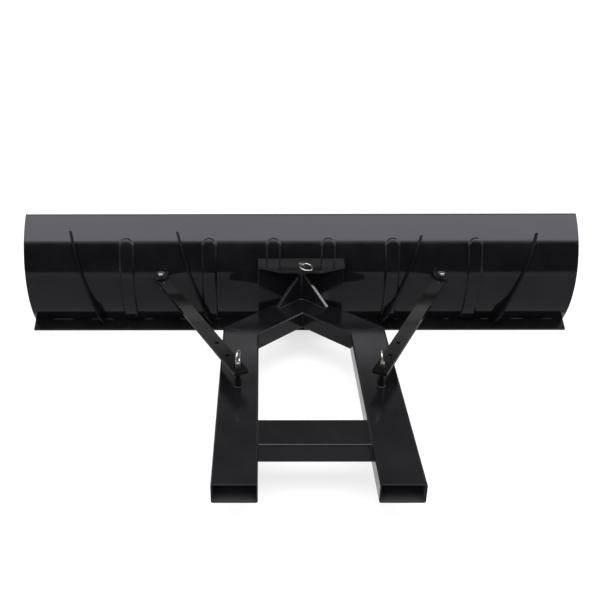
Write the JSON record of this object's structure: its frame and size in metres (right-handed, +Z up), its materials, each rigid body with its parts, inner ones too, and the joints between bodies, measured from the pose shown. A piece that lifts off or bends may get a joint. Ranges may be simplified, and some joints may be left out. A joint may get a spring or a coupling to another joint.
{
  "type": "snow plough blade with fork-pocket frame",
  "caption": "Curved snow plough blade that swings on a tubular frame with two fork pockets, held at an angle by two flat struts.",
  "frame": {"origin": "on the ground plane under the middle of the overall plan box, on the machine's centre line", "axes": "+Y forward towards the blade, +X to the machine's right seen from behind, +Z up"},
  "size_m": [1.7, 1.0404, 0.3637],
  "materials": {
    "frame_paint": "glossy black powder coat",
    "blade_paint": "glossy black powder coat",
    "moldboard_paint": "glossy black powder coat on rolled sheet",
    "strut_paint": "glossy black powder coat",
    "zinc_hardware": "bright zinc plate",
    "washer_steel": "black oxide",
    "ring_wire": "bright plated spring wire"
  },
  "bodies": {
    "frame": {"fork_tube_left": "frame_paint", "fork_tube_right": "frame_paint", "front_arm_left": "frame_paint", "front_arm_right": "frame_paint", "cross_member": "frame_paint", "pivot_tube": "frame_paint", "pivot_gusset_left": "frame_paint", "pivot_gusset_right": "frame_paint", "strut_post_left": "frame_paint", "strut_post_right": "frame_paint"},
    "blade": {"moldboard": "moldboard_paint", "wear_lip": "blade_paint", "stiffening_rib_outer_left": "blade_paint", "stiffening_rib_outer_right": "blade_paint", "stiffening_rib_inner_left": "blade_paint", "stiffening_rib_inner_right": "blade_paint", "bracket_back_plate": "blade_paint", "bracket_top_plate": "blade_paint", "bracket_bottom_plate": "blade_paint", "bracket_cheek_left": "blade_paint", "bracket_cheek_right": "blade_paint", "thrust_washer_top": "washer_steel", "thrust_washer_bottom": "washer_steel", "strut_lug_left": "blade_paint", "strut_lug_right": "blade_paint", "lug_bolt_left": "zinc_hardware", "lug_bolt_right": "zinc_hardware", "lug_washer_left": "washer_steel", "lug_washer_right": "washer_steel", "lug_nut_left": "zinc_hardware", "lug_nut_right": "zinc_hardware", "pivot_pin": "zinc_hardware"},
    "strut_left": {"strut_bar_left": "strut_paint", "strut_pin_left": "zinc_hardware"},
    "strut_right": {"strut_bar_right": "strut_paint", "strut_pin_right": "zinc_hardware"},
    "pivot_ring": {"pivot_pin_ring": "ring_wire"},
    "strut_ring_left": {"strut_pin_ring_left": "ring_wire"},
    "strut_ring_right": {"strut_pin_ring_right": "ring_wire"}
  },
  "joints": [
    {"name": "blade_swing", "type": "hinge", "parent": "frame", "child": "blade", "pos_m": [0, 0.3595, 0.17], "axis": [0, 0, 1], "range_deg": [-20, 20]},
    {"name": "strut_swing_left", "type": "hinge", "parent": "blade", "child": "strut_left", "pos_m": [-0.426, 0.39, 0.201], "axis": [0, 0, 1], "range_deg": [-13, 13]},
    {"name": "strut_swing_right", "type": "hinge", "parent": "blade", "child": "strut_right", "pos_m": [0.426, 0.39, 0.201], "axis": [0, 0, 1], "range_deg": [-13, 13]},
    {"name": "pivot_ring_fold", "type": "hinge", "parent": "blade", "child": "pivot_ring", "pos_m": [0, 0.3595, 0.2626], "axis": [-0.6018, -0.7986, 0], "range_deg": [-0.5, 150]},
    {"name": "strut_ring_fold_left", "type": "hinge", "parent": "strut_left", "child": "strut_ring_left", "pos_m": [-0.1785, -0.1365, 0.218], "axis": [0.2079, 0.9781, 0], "range_deg": [-80, 80]},
    {"name": "strut_ring_fold_right", "type": "hinge", "parent": "strut_right", "child": "strut_ring_right", "pos_m": [0.1785, -0.1365, 0.218], "axis": [0.0872, 0.9962, 0], "range_deg": [-70, 86]}
  ],
  "couplings": [
    {"joint": "strut_swing_left", "follows": "blade_swing", "ratio": -0.64},
    {"joint": "strut_swing_right", "follows": "blade_swing", "ratio": -0.64}
  ]
}
